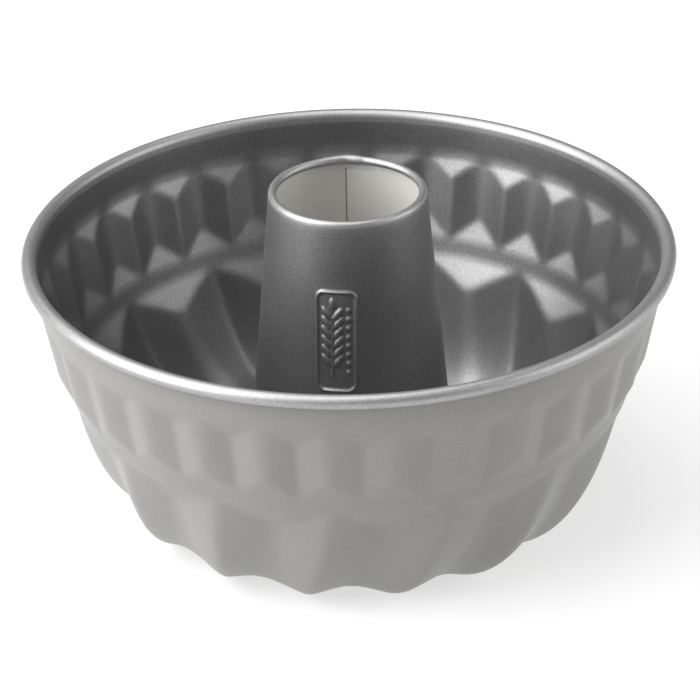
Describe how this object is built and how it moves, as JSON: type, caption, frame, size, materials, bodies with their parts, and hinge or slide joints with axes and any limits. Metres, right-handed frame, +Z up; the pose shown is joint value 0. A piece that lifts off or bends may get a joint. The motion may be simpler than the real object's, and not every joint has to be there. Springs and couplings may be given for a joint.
{
  "type": "bundt pan",
  "caption": "Round fluted ring-cake pan with a rolled rim and an open tapered centre tube, for baking a tall ring cake.",
  "frame": {"origin": "middle of the circle that the pan stands on", "axes": "+Z up the centre tube's axis; -Y towards the badge on the tube; +X to the right"},
  "size_m": [0.22, 0.22, 0.1176],
  "materials": {
    "outer_coating": "satin warm grey release coat on steel sheet, darker on the cake side",
    "inner_coating": "satin dark metallic grey release coat on steel sheet",
    "rim_wire_steel": "plain drawn steel wire"
  },
  "bodies": {
    "root": {"bowl": "outer_coating", "centre_tube": "inner_coating", "rim_wire": "rim_wire_steel"}
  },
  "joints": []
}
